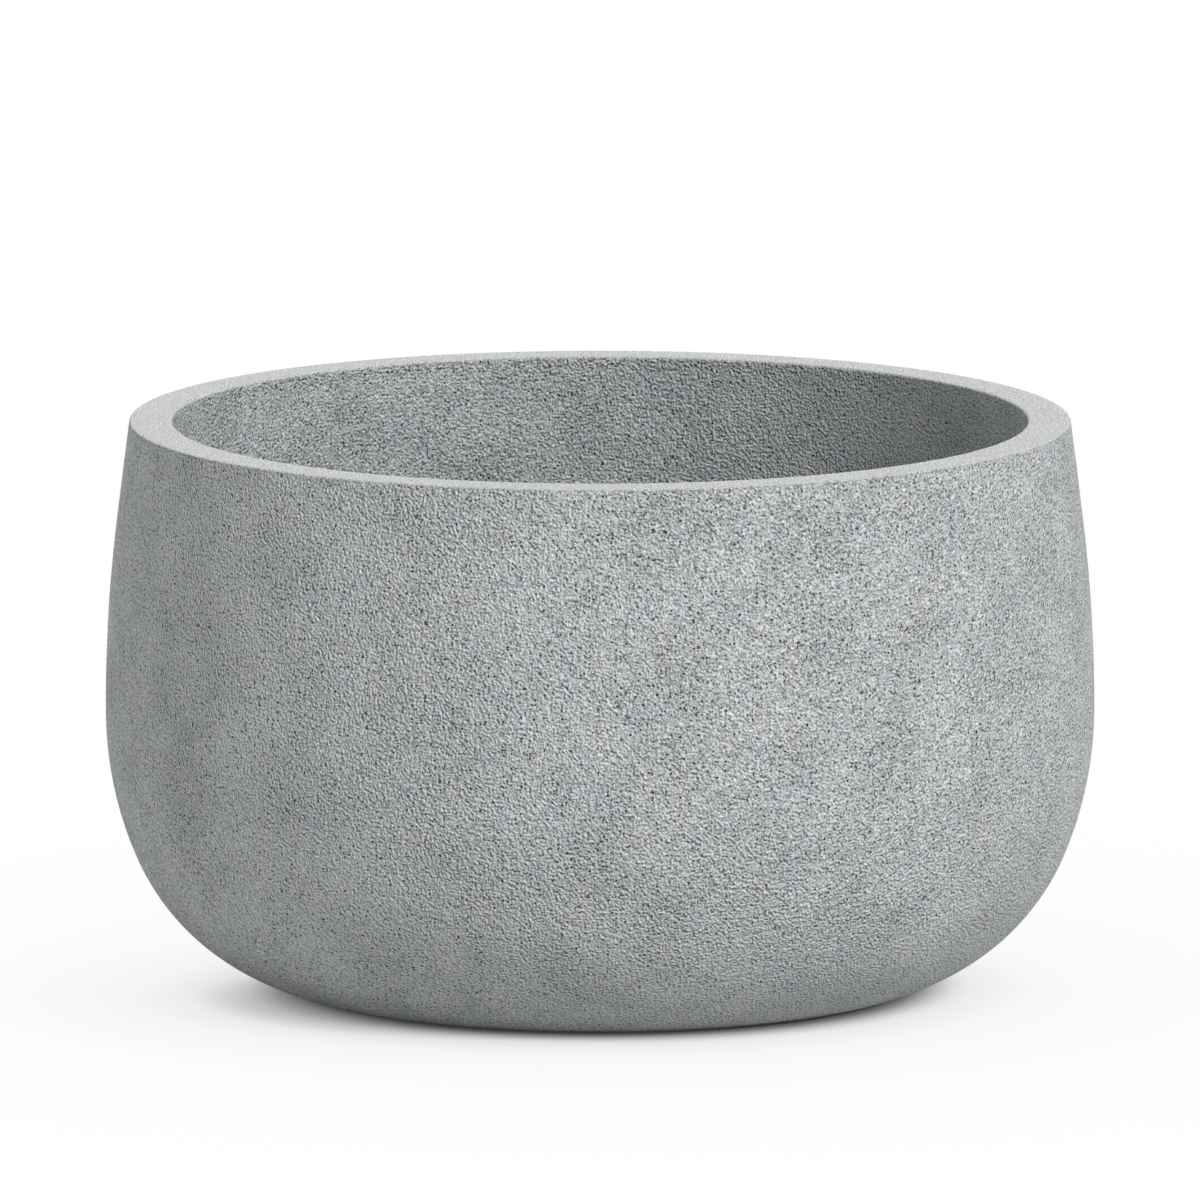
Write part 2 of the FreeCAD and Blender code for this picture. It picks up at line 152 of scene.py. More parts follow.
class Graph:
    """The nodes of one material or of the world."""

    def __init__(self, tree: bpy.types.NodeTree) -> None:
        """Empties a node tree and takes it over."""
        self.tree = tree
        tree.nodes.clear()

    def add(
        self,
        kind: str,
        settings: dict[str, Any],
        sockets: dict[Union[str, int], Any],
        output: Union[str, int] = 0,
    ) -> Wire:
        """Adds any node.

        Args:
            kind: The node's type.
            settings: Its properties, set first; stops are those of a colour ramp.
            sockets: The value or the wire of each input, by name or number.
            output: The output that the returned wire stands for.

        Returns:
            A wire from that output, or from none where the node has no outputs.
        """
        node = self.tree.nodes.new(kind)
        for name, value in settings.items():
            if name == "stops":
                self._ramp(node, value)
            else:
                setattr(node, name, value)
        for name, value in sockets.items():
            socket = node.inputs[name]
            if isinstance(value, Wire):
                self.tree.links.new(value.socket, socket)
            elif isinstance(value, tuple) and len(value) == 3 and socket.type == "RGBA":
                socket.default_value = (*value, 1.0)
            else:
                socket.default_value = value
        return Wire(self, node.outputs[output] if node.outputs else node.inputs[0])

    @staticmethod
    def _ramp(node: bpy.types.Node, stops: tuple[Spot, ...]) -> None:
        """Gives a colour ramp its grey stops.

        Args:
            node: The ramp.
            stops: The position and the level of each stop.
        """
        line = node.color_ramp.elements
        while len(line) < len(stops):
            line.new(1.0)
        for element, (position, level) in zip(line, stops):
            element.position = position
            element.color = (level, level, level, 1.0)

    def vector(self, operation: str, *operands: Any) -> Wire:
        """One Vector Math node with these operands."""
        return self.add("ShaderNodeVectorMath", {"operation": operation}, dict(enumerate(operands)))

    def place(self) -> Wire:
        """The piece's own coordinates, in metres."""
        return self.add("ShaderNodeTexCoord", {}, {}, "Object")

    def rise(self, where: Wire) -> Wire:
        """The height of a place above the floor, in millimetres."""
        return self.add("ShaderNodeSeparateXYZ", {}, {"Vector": where}, "Z") * (1 / MM)

    @staticmethod
    def _sized(where: Wire, size: float) -> dict[str, Any]:
        """The coordinates of a texture, and the scale for a size in millimetres."""
        return {"Vector": where, "Scale": 1 / (size * MM)}

    def grain(self, where: Wire, size: float, detail: float = 0.0, roughness: float = 0.5) -> Wire:
        """Cloudy noise from 0 to 1: lumps of a size in millimetres and layers of finer detail."""
        layers = {"Detail": detail, "Roughness": roughness}
        return self.add("ShaderNodeTexNoise", {}, {**self._sized(where, size), **layers})

    def cells(self, where: Wire, size: float) -> Wire:
        """How far off the nearest cell is, in cells; its node also gives each cell a Color."""
        return self.add("ShaderNodeTexVoronoi", {}, self._sized(where, size), "Distance")

    def step(self, value: Wire, low: float, high: float) -> Wire:
        """A soft step from 0 at low to 1 at high."""
        sockets = {"Value": value, "From Min": low, "From Max": high, "To Min": 0.0, "To Max": 1.0}
        return self.add(
            "ShaderNodeMapRange", {"interpolation_type": "SMOOTHSTEP"}, sockets, "Result"
        )

    def blend(self, share: Operand, first: Any, second: Any, how: str = "MIX") -> Wire:
        """Two colours, or wires of colours, mixed with a share of the second."""
        settings = {"data_type": "RGBA", "blend_type": how}
        return self.add("ShaderNodeMix", settings, {0: share, 6: first, 7: second}, 2)

    def shade(self, colour: Any, level: Wire) -> Wire:
        """A colour made lighter or darker by a level around 1."""
        grey = self.add("ShaderNodeCombineColor", {}, {"Red": level, "Green": level, "Blue": level})
        return self.blend(1.0, colour, grey, "MULTIPLY")

    def relief(self, height: Wire, depth: float) -> Wire:
        """A normal that follows a height, of which 1 stands for a depth in millimetres."""
        sockets = {"Strength": 1.0, "Distance": depth * MM, "Height": height}
        return self.add("ShaderNodeBump", {}, sockets)

    def surface(self, **sockets: Any) -> None:
        """Ends the graph in a Principled shader.

        Args:
            **sockets: The shader's inputs, with underscores for spaces.
        """
        named = {name.replace("_", " "): value for name, value in sockets.items()}
        shader = self.add("ShaderNodeBsdfPrincipled", {}, named)
        self.add("ShaderNodeOutputMaterial", {}, {"Surface": shader})


def new_material(name: str) -> tuple[bpy.types.Material, Graph]:
    """An empty material.

    Args:
        name: The material's name.

    Returns:
        The material and its graph.
    """
    material = bpy.data.materials.new(name)
    material.use_nodes = True
    return material, Graph(material.node_tree)


class Finish:
    """What a piece is finished with; its sizes are in millimetres."""

    def material(self, name: str) -> bpy.types.Material:
        """Makes the finish a material.

        Args:
            name: The material's name.

        Returns:
            The material.
        """
        material, graph = new_material(name)
        self.paint(graph, graph.place())
        return material

    def paint(self, graph: Graph, where: Wire) -> None:
        """Fills a material's graph, from its coordinates in metres."""
        raise NotImplementedError


@dataclass(frozen=True)
class GrainedFibreglass(Finish):
    """Matte fibreglass with a moulded cast-stone grain, and a band of painted shade round its foot.

    The grain's lumps carry painted light on their side towards the key lamp and painted shade on
    the other, its pits and creases are darkened with painted shade, and its tone drifts in faint
    clouds.
    """

    cool: Colour = (0.396, 0.427, 0.441)
    warm: Colour = (0.427, 0.431, 0.427)
    drift_size: float = 22.0
    drift_span: Span = (0.3, 0.7)
    cloud_size: float = 45.0
    cloud_shade: float = 0.5
    patch_size: float = 11.0
    patch_shade: float = 0.05
    patch_contrast: float = 0.4
    fine_size: float = 1.0
    fine_height: float = 0.3
    contrast: float = 1.3
    lump_size: float = 1.6
    # painted light: a short step towards the key lamp, in metres, and how strongly the lumps are
    # lit and shaded along it
    key_light_step: Triple = (0.00043, -0.00043, 0.00051)
    painted_relief_depth: float = 1.6
    bend: float = 0.0012
    pit_spacing: float = 2.7
    pit_edge: Span = (0.12, 0.32)
    pit_chance: Span = (0.4, 0.85)
    pit_height: float = 0.35
    # painted shade in the pits
    pit_painted_shade: float = 1.9
    fold_size: float = 7.0
    fold_edge: Span = (0.0, 0.05)
    crease_patches: Span = (0.42, 0.68)
    crease_height: float = 0.2
    # painted shade in the creases
    crease_painted_shade: float = 0.15
    darkest: float = 0.1
    # painted shade: how dark a band round the foot is made, and between which heights in
    # millimetres, in place of the contact shadow
    painted_foot_shade: float = 0.85
    foot_shade_start: Span = (2.2, 3.6)
    foot_shade_end: Span = (6.5, 10.5)
    relief_depth: float = 1.45
    roughness: float = 0.86
    sheen: float = 0.3

    def pattern(self, graph: Graph, where: Wire) -> tuple[Wire, Wire]:
        """The grain's height and colour.

        Args:
            graph: The graph to add to.
            where: The coordinates, in metres.

        Returns:
            The height, about 0 to 1, and the colour.
        """
        fine = graph.grain(where, self.fine_size)
        lumps = graph.grain(where, self.lump_size)
        # painted light and shade: the lumps are lighter on the side towards the key lamp and darker
        # on the far side
        painted_relief = lumps - graph.grain(graph.vector("ADD", where, self.key_light_step), self.lump_size)
        nudge = {0: fine.beside("Color"), "Scale": self.bend}
        nudged = graph.add("ShaderNodeVectorMath", {"operation": "SCALE"}, nudge)
        bent = graph.vector("ADD", where, nudged)
        cells = graph.cells(bent, self.pit_spacing)
        chance = graph.add("ShaderNodeSeparateColor", {}, {"Color": cells.beside("Color")}, "Red")
        pit = (1 - graph.step(cells, *self.pit_edge)) * graph.step(chance, *self.pit_chance)
        patches = graph.grain(where, self.patch_size, detail=1.0)
        fold = graph.grain(bent, self.fold_size, detail=1.0).swing()
        plain = graph.step(fold.maths("ABSOLUTE", fold, 0.0), *self.fold_edge)
        crease = (1 - plain) * graph.step(patches, *self.crease_patches)
        height = self.fine_height * fine + lumps - self.pit_height * pit
        height = height - self.crease_height * crease

        drift = graph.grain(where, self.drift_size, detail=5.0, roughness=0.85)
        colour = graph.blend(graph.step(drift, *self.drift_span), self.cool, self.warm)
        clouds = graph.grain(where, self.cloud_size, detail=2.0)
        contrast = self.contrast * patches.around(self.patch_contrast)
        # the grain's speckle, with the painted light and shade of the lumps added
        speckle_and_painted_relief = contrast * fine.swing() + self.painted_relief_depth * painted_relief
        tone = clouds.around(self.cloud_shade) + self.patch_shade * patches.swing()
        # painted shade: the pits and creases are darkened as if shadowed
        level = tone + speckle_and_painted_relief - self.pit_painted_shade * pit - self.crease_painted_shade * crease
        level = level.maths("MAXIMUM", level, self.darkest)
        # painted shade: the colour is darkened in a band just above the base, where the contact
        # shadow falls
        rise = graph.rise(where)
        painted_foot_shade = graph.step(rise, *self.foot_shade_start) * (1 - graph.step(rise, *self.foot_shade_end))
        return height, graph.shade(colour, level * (1 - self.painted_foot_shade * painted_foot_shade))

    def paint(self, graph: Graph, where: Wire) -> None:
        """Paints a whole skin."""
        height, colour = self.pattern(graph, where)
        graph.surface(
            Base_Color=colour,
            Roughness=self.roughness,
            Specular_IOR_Level=self.sheen,
            Normal=graph.relief(height, self.relief_depth),
        )


@dataclass(frozen=True)
class RimFibreglass(Finish):
    """The same laminate, rubbed flat and pale on top, with the grain left on the rim's sides."""

    grained: GrainedFibreglass
    colour: Colour = (0.487, 0.493, 0.499)
    rubbed_span: Span = (348.6, 349.3)
    ragged: float = 0.9
    ragged_size: float = 2.4
    dust_size: float = 1.1
    dust_depth: float = 0.16
    dust_shade: float = 3.3
    cloud_size: float = 18.0
    cloud_shade: float = 0.12

    def paint(self, graph: Graph, where: Wire) -> None:
        """Paints the rim.

        Args:
            graph: The graph.
            where: The coordinates, in metres.
        """
        # the grained colour of the rim's sides carries the grain's painted light and shade
        height, grained = self.grained.pattern(graph, where)
        dust = graph.grain(where, self.dust_size, detail=2.0, roughness=0.6)
        clouds = graph.grain(where, self.cloud_size, detail=3.0)
        level = dust.around(self.dust_shade) + self.cloud_shade * clouds.swing()
        uneven = 2 * self.ragged * graph.grain(where, self.ragged_size, detail=2.0).swing()
        rubbed = graph.step(graph.rise(where) + uneven, *self.rubbed_span)
        rough = self.grained.relief_depth * (1 - rubbed) * height + self.dust_depth * rubbed * dust
        graph.surface(
            Base_Color=graph.blend(rubbed, grained, graph.shade(self.colour, level)),
            Roughness=self.grained.roughness,
            Specular_IOR_Level=self.grained.sheen,
            Normal=graph.relief(rough, 1.0),
        )


@dataclass(frozen=True)
class Moulding(Finish):
    """A dark moulding with a fine skin and patches of bloom; its values are those of a plastic."""

    colour: Colour = (0.052, 0.053, 0.056)
    bloom: Colour = (0.088, 0.088, 0.09)
    bloom_size: float = 9.0
    bloom_layers: Span = (3.0, 0.5)
    bloom_span: Span = (0.42, 0.72)
    bloom_roughness: float = 0.16
    skin_size: float = 0.35
    skin_shade: float = 0.4
    skin_roughness: float = 0.1
    skin_depth: float = 0.05
    roughness: float = 0.42
    sheen: float = 0.5

    def paint(self, graph: Graph, where: Wire) -> None:
        """Paints a moulded piece.

        Args:
            graph: The graph.
            where: The coordinates, in metres.
        """
        skin = graph.grain(where, self.skin_size, detail=2.0)
        patches = graph.grain(where, self.bloom_size, *self.bloom_layers)
        bloom = graph.step(patches, *self.bloom_span)
        colour = graph.blend(bloom, self.colour, self.bloom)
        graph.surface(
            Base_Color=graph.shade(colour, skin.around(self.skin_shade)),
            Roughness=self.roughness + self.bloom_roughness * bloom + self.skin_roughness * skin,
            Specular_IOR_Level=self.sheen,
            Normal=graph.relief(skin, self.skin_depth),
        )


@dataclass(frozen=True)
class RubberMoulding(Moulding):
    """Black moulded rubber, matte, with a little pale dust for its bloom."""

    colour: Colour = (0.026, 0.026, 0.027)
    bloom: Colour = (0.085, 0.083, 0.079)
    bloom_size: float = 6.0
    bloom_layers: Span = (4.0, 0.6)
    bloom_span: Span = (0.48, 0.82)
    bloom_roughness: float = 0.14
    skin_size: float = 0.5
    skin_shade: float = 0.36
    skin_roughness: float = 0.0
    skin_depth: float = 0.06
    roughness: float = 0.74
    sheen: float = 0.35


@dataclass(frozen=True)
class RigidFoam(Finish):
    """Pale poured foam with small closed cells, their hollows darkened with painted shade."""

    colour: Colour = (0.70, 0.64, 0.43)
    hollow_shade_colour: Colour = (0.52, 0.43, 0.24)
    cell_size: float = 1.6
    cell_wall: Span = (0.15, 0.6)
    cell_depth: float = 0.3
    cloud_size: float = 40.0
    cloud_shade: float = 0.3
    roughness: float = 0.9

    def paint(self, graph: Graph, where: Wire) -> None:
        """Paints the core.

        Args:
            graph: The graph.
            where: The coordinates, in metres.
        """
        wall = graph.step(graph.cells(where, self.cell_size), *self.cell_wall)
        clouds = graph.grain(where, self.cloud_size, detail=3.0)
        # painted shade: the cells' hollows take the darker colour
        colour = graph.blend(1 - wall, self.colour, self.hollow_shade_colour)
        graph.surface(
            Base_Color=graph.shade(colour, clouds.around(self.cloud_shade)),
            Roughness=self.roughness,
            Normal=graph.relief(wall, self.cell_depth),
        )


class Lathe:
    """Draws a half section in millimetres, as a chain of points, and turns it about the axis."""

    def __init__(self, radius: float, level: float) -> None:
        """Starts the chain at one point.

        Args:
            radius: The point's distance from the axis.
            level: The point's height.
        """
        self.mesh = bmesh.new()
        self.run = self.mesh.verts.layers.float.new("run")
        self.first = self.tip = self.mesh.verts.new((radius * MM, 0.0, level * MM))
        self.length = 0.0

    def _reach(self, chain: list[bmesh.types.BMVert], hidden: Hidden) -> None:
        """Notes how far along the section each new point is.

        Args:
            chain: The new points, in order.
            hidden: Whether the run shows on the finished planter.
        """
        for vert in chain:
            self.length += hidden.value * (vert.co - self.tip.co).length / MM
            vert[self.run] = self.length
            self.tip = vert

    def line(self, radius: float, level: float, steps: int = 1, hidden: Hidden = Hidden.NO) -> None:
        """A straight run to a point.

        Args:
            radius: The point's distance from the axis.
            level: The point's height.
            steps: How many edges the run has.
            hidden: Whether the run shows on the finished planter.
        """
        way = (Vector((radius * MM, 0.0, level * MM)) - self.tip.co) / steps
        chain, tip = [], self.tip
        for _ in range(steps):
            made = bmesh.ops.extrude_vert_indiv(self.mesh, verts=[tip])
            tip = made["verts"][0]
            bmesh.ops.translate(self.mesh, verts=[tip], vec=way)
            chain.append(tip)
        self._reach(chain, hidden)

    def arc(self, centre: Spot, degrees: float, steps: int, hidden: Hidden = Hidden.NO) -> None:
        """A round run about a centre.

        Args:
            centre: The centre's distance from the axis and its height.
            degrees: The turn, clockwise as seen with the axis on the left.
            steps: How many edges the run has.
            hidden: Whether the run shows on the finished planter.
        """
        hub = (centre[0] * MM, 0.0, centre[1] * MM)
        turn = math.radians(degrees) / steps
        chain, tip = [], self.tip
        for _ in range(steps):
            made = bmesh.ops.spin(self.mesh, geom=[tip], cent=hub, axis=ACROSS, angle=turn, steps=1)
            tip = next(item for item in made["geom_last"] if isinstance(item, bmesh.types.BMVert))
            chain.append(tip)
        self._reach(chain, hidden)

    def close(self, hidden: Hidden = Hidden.YES) -> None:
        """Joins the chain's end to its start."""
        self.mesh.edges.new((self.tip, self.first))
        self.length += hidden.value * (self.first.co - self.tip.co).length / MM

    def turn(
        self, name: str, steps: int, strips: int, shape: Optional[Shaping] = None
    ) -> bpy.types.Object:
        """Turns the section once round and makes it an object.

        Args:
            name: The object's name.
            steps: How many segments go round.
            strips: How many strips of the bake share the way round.
            shape: A last change to the turned mesh.

        Returns:
            The object, linked to the scene.
        """
        bmesh.ops.spin(
            self.mesh, geom=[*self.mesh.verts, *self.mesh.edges], cent=(0, 0, 0),
            axis=UPRIGHT, angle=math.tau, steps=steps, use_merge=True,
        )
        bmesh.ops.remove_doubles(self.mesh, verts=self.mesh.verts[:], dist=MERGE_DISTANCE)
        bmesh.ops.dissolve_degenerate(self.mesh, edges=self.mesh.edges[:], dist=MERGE_DISTANCE)
        bmesh.ops.recalc_face_normals(self.mesh, faces=self.mesh.faces[:])
        self._unroll(strips)
        if shape:
            shape(self.mesh)
        return finished(self.mesh, name)

    def _unroll(self, strips: int) -> None:
        """Lays the faces out for the bake, in strips one above the other.

        Args:
            strips: How many strips share the way round.
        """
        layer = self.mesh.loops.layers.uv.new(BAKE_MAP)
        sweep = math.tau / strips
        inside = 1 - 2 * BAKE_MARGIN
        for face in self.mesh.faces:
            middle = face.calc_center_median()
            strip = int((math.atan2(middle.y, middle.x) % math.tau) / sweep)
            reach = [loop.vert[self.run] for loop in face.loops]
            wraps = max(reach) - min(reach) > self.length / 2
            for loop, far in zip(face.loops, reach):
                spot = loop.vert.co
                on_axis = spot.xy.length <= MERGE_DISTANCE
                ahead = math.atan2(spot.y, spot.x) - (strip + 0.5) * sweep
                ahead = 0.0 if on_axis else (ahead + math.pi) % math.tau - math.pi
                if wraps and far < self.length / 2:
                    far += self.length
                across = BAKE_MARGIN + inside * (ahead / sweep + 0.5)
                along = BAKE_MARGIN + inside * far / self.length
                loop[layer].uv = (across, (strip + along) / strips)


def finished(mesh: bmesh.types.BMesh, name: str) -> bpy.types.Object:
    """Makes a finished mesh an object of the scene.

    Args:
        mesh: The mesh, which is used up.
        name: The object's name.

    Returns:
        The object, smooth but for its sharp edges.
    """
    data = bpy.data.meshes.new(name)
    mesh.to_mesh(data)
    mesh.free()
    data.polygons.foreach_set("use_smooth", [True] * len(data.polygons))
    data.set_sharp_from_angle(angle=SHARP_ANGLE)
    piece = bpy.data.objects.new(name, data)
    bpy.context.scene.collection.objects.link(piece)
    return piece


class Palette:
    """The planter's materials, one for each look."""

    def __init__(self) -> None:
        """Mixes the finishes."""
        grained = GrainedFibreglass()
        finishes = {
            Look.OUTSIDE: grained,
            Look.INSIDE: replace(grained, relief_depth=1.0),
            Look.RIM: RimFibreglass(grained),
            Look.FOAM: RigidFoam(),
            Look.PLASTIC: Moulding(),
            Look.RUBBER: RubberMoulding(),
        }
        self.materials = {look: finish.material(look.value) for look, finish in finishes.items()}

    def put_on(self, shape: bpy.types.Object, look: Look) -> None:
        """Gives a piece its material.

        Args:
            shape: The piece's object.
            look: Its finish.
        """
        shape.data.materials.clear()
        shape.data.materials.append(self.materials[look])


@dataclass(frozen=True)
class Piece:
    """A finished piece: its mesh, look, the CAD nodes it replaces and the body it moves with."""

    shape: bpy.types.Object
    look: Look
    nodes: tuple[str, ...] = ()
    body: Body = Body.PLANTER


@dataclass(frozen=True)
class Meridian:
    """The half section of a moulded face: a neck, two arcs about the belly, a corner and a flat."""

    belly: float
    height: float
    upper: float
    lean: float
    flank: float
    turn: float
    floor: float
    neck_steps: int = 4
    arc_steps: tuple[int, int, int] = (7, 6, 9)
    flat_steps: int = 5
    fineness: int = 3

    @classmethod
    def leaning(cls, form: PlanterForm, depth: float, inset: float, floor: float) -> Meridian:
        """A face that leans in above its belly.

        Args:
            form: The sizes that the faces share.
            depth: How far the face is inside the planter's belly.
            inset: How far its top is inside its own belly.
            floor: The level of its flat.

        Returns:
            The face.
        """
        rise = form.height - form.belly_height
        lean = 2 * math.atan(inset / (form.neck + rise))
        return cls(
            belly=form.belly - depth,
            height=form.belly_height,
            upper=(rise - form.neck * math.cos(lean)) / math.sin(lean),
            lean=math.degrees(lean),
            flank=form.flank - depth,
            turn=form.flank_turn,
            floor=floor,
        )

    def deeper(self, depth: float) -> Meridian:
        """The face nearer to the axis and above the flat.

        Args:
            depth: How much nearer.

        Returns:
            The new face.
        """
        return replace(
            self,
            belly=self.belly - depth,
            upper=self.upper - depth,
            flank=self.flank - depth,
            floor=self.floor + depth,
        )

    @property
    def corner(self) -> float:
        """The radius of the corner."""
        dip = math.sin(math.radians(self.turn))
        return (self.height - self.floor - self.flank * dip) / (1 - dip)

    @property
    def elbow(self) -> float:
        """The radius at which the corner meets the flat."""
        reach = (self.flank - self.corner) * math.cos(math.radians(self.turn))
        return self.belly - self.flank + reach

    def neck(self) -> Spot:
        """The point at which the neck meets the arc above the belly."""
        lean, hub = math.radians(self.lean), self.belly - self.upper
        return (hub + self.upper * math.cos(lean), self.height + self.upper * math.sin(lean))

    def _arcs(self) -> tuple[tuple[Spot, float, int], ...]:
        """The arcs from the neck down: the centre, the turn and the number of edges of each."""
        upper, flank, corner = self.arc_steps
        return (
            ((self.belly - self.upper, self.height), self.lean, upper),
            ((self.belly - self.flank, self.height), self.turn, flank),
            ((self.elbow, self.floor + self.corner), QUARTER - self.turn, corner),
        )

    def radius(self, level: float) -> float:
        """The neck's radius at a level."""
        radius, height = self.neck()
        return radius - (level - height) * math.tan(math.radians(self.lean))

    def down(self, lathe: Lathe, end: float) -> None:
        """Draws the face finely, to show, from the neck down to the flat and in along it.

        Args:
            lathe: The lathe, at a point of the neck.
            end: The radius at which the flat ends.
        """
        fine = self.fineness
        lathe.line(*self.neck(), fine * self.neck_steps)
        for centre, degrees, steps in self._arcs():
            lathe.arc(centre, degrees, fine * steps)
        lathe.line(end, self.floor, fine * self.flat_steps)

    def up(self, lathe: Lathe, top: float) -> None:
        """Draws the face as a hidden one, from the flat up to a level of the neck.

        Args:
            lathe: The lathe, at a point of the flat.
            top: The level at which the neck ends.
        """
        lathe.line(self.elbow, self.floor, self.flat_steps, Hidden.YES)
        for centre, degrees, steps in reversed(self._arcs()):
            lathe.arc(centre, -degrees, steps, Hidden.YES)
        lathe.line(self.radius(top), top, self.neck_steps, Hidden.YES)


@dataclass(frozen=True)
class PlanterForm:
    """The sizes that the skins, the rim and the drain share."""

    height: float = 350.0
    belly: float = 300.0
    belly_height: float = 173.0
    flank: float = 226.0
    flank_turn: float = 22.5
    neck: float = 57.0
    rim_inset: float = 15.0
    rim_width: float = 26.0
    rim_thickness: float = 8.0
    liner_bulge: float = 10.0
    outer_wall: float = 5.0
    liner_wall: float = 4.0
    base_level: float = 2.0
    floor_level: float = 34.0
    bond_gap: float = 0.3
    hole: float = 15.3

    @property
    def joint_level(self) -> float:
        """The level at which the skins meet the rim."""
        return self.height - self.rim_thickness

    def outside(self) -> Meridian:
        """The face of the outer skin."""
        return Meridian.leaning(self, 0.0, self.rim_inset, self.base_level)

    def inside(self) -> Meridian:
        """The face of the inner skin."""
        depth = self.rim_inset + self.rim_width - self.liner_bulge
        return Meridian.leaning(self, depth, self.liner_bulge, self.floor_level)


@dataclass(frozen=True)
class Unevenness:
    """The slight waviness of a hand-laid skin, pressed inwards only and faded out at its joints."""

    depth: float = 0.22
    wave: float = 70.0
    fractal: tuple[float, float, int] = (1.0, 2.0, 2)
    low: float = 40.0
    high: float = 318.0
    fade: float = 30.0

    def press(self, mesh: bmesh.types.BMesh, sign: float) -> None:
        """Moves the points of a turned skin a little.

        Args:
            mesh: The skin.
            sign: 1 to press towards the axis, -1 to press away from it.
        """
        for vert in mesh.verts:
            level = vert.co.z / MM
            share = min((level - self.low) / self.fade, (self.high - level) / self.fade, 1.0)
            out = Vector((vert.co.x, vert.co.y, 0.0))
            if share <= 0 or out.length < MERGE_DISTANCE:
                continue
            swell = 0.5 + 0.5 * noise.fractal(vert.co / (self.wave * MM), *self.fractal)
            depth = self.depth * MM * share * min(max(swell, 0.0), 1.0)
            vert.co -= out.normalized() * (sign * depth)


@dataclass
class Assembly:
    """A sub-assembly, which builds its pieces from its sizes and dresses them."""

    form: PlanterForm
    pieces: list[Piece] = field(default_factory=list, init=False)

    def build(self) -> None:
        """Makes the pieces."""
        raise NotImplementedError

    def dress(self, palette: Palette) -> None:
        """Gives the pieces their materials and their bodies, and hides the CAD nodes they stand in
        for.

        Args:
            palette: The materials.
        """
        for piece in self.pieces:
            palette.put_on(piece.shape, piece.look)
            if piece.nodes:
                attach(piece.shape, piece.body.value)
                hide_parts(*piece.nodes)
            name, faces = piece.shape.name, len(piece.shape.data.polygons)
            look, body = piece.look.value, piece.body.value
            LOG.info("%s: %d faces, %s, moves with %s", name, faces, look, body)


@dataclass
class Skin(Assembly):
    """A turned skin with a round well for the drain in its flat."""

    unevenness: Unevenness = Unevenness()
    moulding: float = 3.0
    round_steps: int = 240

    def turned(
        self, name: str, face: Meridian, wall: float, well: float, level: float, side: int
    ) -> bpy.types.Object:
        """Turns the closed section of a skin.

        Args:
            name: The skin's name.
            face: The face that shows.
            wall: The thickness.
            well: The radius of the well.
            level: The level of the well's floor.
            side: 1 for a skin within its face, -1 for one around it.

        Returns:
            The skin.
        """
        form, soft = self.form, self.moulding
        back = face.deeper(side * wall)
        lathe = Lathe(face.radius(form.joint_level), form.joint_level)
        face.down(lathe, well + soft)
        lathe.arc((well + soft, face.floor + side * soft), side * QUARTER, EDGE_STEPS)
        lathe.line(well, level - side * soft, 3)
        lathe.arc((well - soft, level - side * soft), -side * QUARTER, EDGE_STEPS)
        lathe.line(form.hole, level, 4)
        lathe.line(form.hole, level + side * wall, 1, Hidden.YES)
        lathe.line(well + wall, level + side * wall, 2, Hidden.YES)
        lathe.line(well + wall, back.floor, 2, Hidden.YES)
        back.up(lathe, form.joint_level)
        lathe.close()
        return lathe.turn(
            name, self.round_steps, strips=2, shape=lambda mesh: self.unevenness.press(mesh, side)
        )


@dataclass
class OuterSkin(Skin):
    """The outer skin, with a recess under the drain."""

    recess: float = 42.0
    recess_level: float = 16.0

    def build(self) -> None:
        """Turns the skin."""
        face, wall = self.form.outside(), self.form.outer_wall
        skin = self.turned("outer_skin", face, wall, self.recess, self.recess_level, 1)
        self.pieces.append(Piece(skin, Look.OUTSIDE, ("outer_shell",)))


@dataclass
class Liner(Skin):
    """The inner skin, with a sump that takes the drain's flange."""

    sump: float = 43.0
    seat_level: float = 25.3

    def build(self) -> None:
        """Turns the skin."""
        face, wall = self.form.inside(), self.form.liner_wall
        skin = self.turned("liner", face, wall, self.sump, self.seat_level, -1)
        self.pieces.append(Piece(skin, Look.INSIDE, ("liner_shell",)))


@dataclass
class Rim(Assembly):
    """The flat rim that caps both skins, with a tongue between them."""

    edge: float = 1.5
    tongue: float = 16.0
    round_steps: int = 240

    def build(self) -> None:
        """Turns the closed section of the rim."""
        form = self.form
        out, into = form.outside(), form.inside()
        top, joint, end = form.height, form.joint_level, form.joint_level - self.tongue
        lathe = Lathe(out.radius(joint), joint)
        self._corner(lathe, out, 1)
        lathe.line(into.radius(top) + self._setback(-into.lean), top, 10)
        self._corner(lathe, into, -1)
        lathe.line(into.radius(joint), joint, 3)
        gap = form.bond_gap
        inner, outer = form.liner_wall + gap, form.outer_wall + gap
        lathe.line(into.radius(joint) + inner, joint, 1, Hidden.YES)
        lathe.line(into.radius(end) + inner, end, 1, Hidden.YES)
        lathe.line(out.radius(end) - outer, end, 1, Hidden.YES)
        lathe.line(out.radius(joint) - outer, joint, 1, Hidden.YES)
        lathe.close()
        rim = lathe.turn("rim", self.round_steps, strips=4)
        self.pieces.append(Piece(rim, Look.RIM, ("rim_ring",)))

    def _setback(self, lean: float) -> float:
        """How far along the top a rounding begins from a corner that leans."""
        return self.edge * math.tan(math.radians(QUARTER - lean) / 2)

    def _corner(self, lathe: Lathe, face: Meridian, side: int) -> None:
        """Draws a rounded corner between a leaning side and the flat top.

        Args:
            lathe: The lathe, on the side's foot or at the end of the top.
            face: The face that the side belongs to.
            side: 1 for the outer corner, going up; -1 for the inner one, going down.
        """
        lean, top = face.lean * side, self.form.height
        back = self._setback(lean)
        if side > 0:
            foot = top - back * math.cos(math.radians(lean))
            lathe.line(face.radius(foot), foot, 3)
        lathe.arc((face.radius(top) - side * back, top - self.edge), lean - QUARTER, 6)


